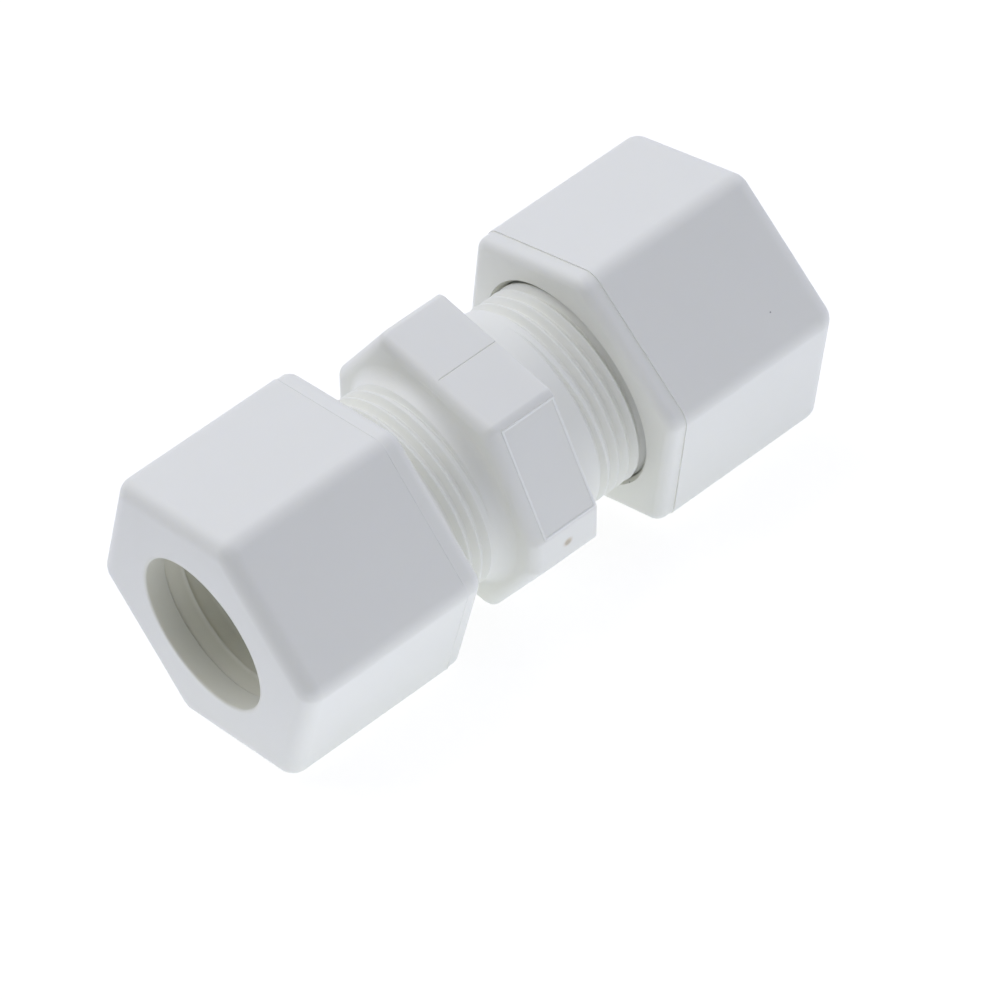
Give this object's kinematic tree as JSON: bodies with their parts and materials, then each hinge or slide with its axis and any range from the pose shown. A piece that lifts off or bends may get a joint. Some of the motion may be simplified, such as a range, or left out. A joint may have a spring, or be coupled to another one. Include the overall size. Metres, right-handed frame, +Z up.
{
  "type": "tube union",
  "caption": "Straight compression union in white plastic: hexagon body with threaded necks and a hexagon nut on each end, joining tube to tube.",
  "frame": {"origin": "on the tube axis, midway between the two nuts", "axes": "+X along the tube axis towards the right-hand nut, +Z up"},
  "size_m": [0.0662, 0.032, 0.0306],
  "materials": {
    "body": "satin moulded polypropylene",
    "nut": "satin moulded polypropylene",
    "gripper": "satin moulded acetal",
    "sleeve": "satin moulded polypropylene"
  },
  "bodies": {
    "body": {"union_body": "body", "left_sleeve": "sleeve", "right_sleeve": "sleeve"},
    "left_grip": {"left_gripper": "gripper"},
    "left_cap": {"left_nut": "nut"},
    "right_grip": {"right_gripper": "gripper"},
    "right_cap": {"right_nut": "nut"}
  },
  "joints": [
    {"name": "left_nut_travel", "type": "slide", "parent": "body", "child": "left_grip", "axis": [-1, 0, 0], "range_m": [-0.00377, 0.00502]},
    {"name": "left_nut_turn", "type": "hinge", "parent": "left_grip", "child": "left_cap", "pos_m": [0, 0, 0], "axis": [-1, 0, 0], "range_deg": [-1080, 1440]},
    {"name": "right_nut_travel", "type": "slide", "parent": "body", "child": "right_grip", "axis": [1, 0, 0], "range_m": [-0.00502, 0.00252]},
    {"name": "right_nut_turn", "type": "hinge", "parent": "right_grip", "child": "right_cap", "pos_m": [0, 0, 0], "axis": [1, 0, 0], "range_deg": [-1440, 720]}
  ],
  "couplings": [
    {"joint": "left_nut_travel", "follows": "left_nut_turn", "m_per_rad": 0.00019894},
    {"joint": "right_nut_travel", "follows": "right_nut_turn", "m_per_rad": 0.00019894}
  ]
}
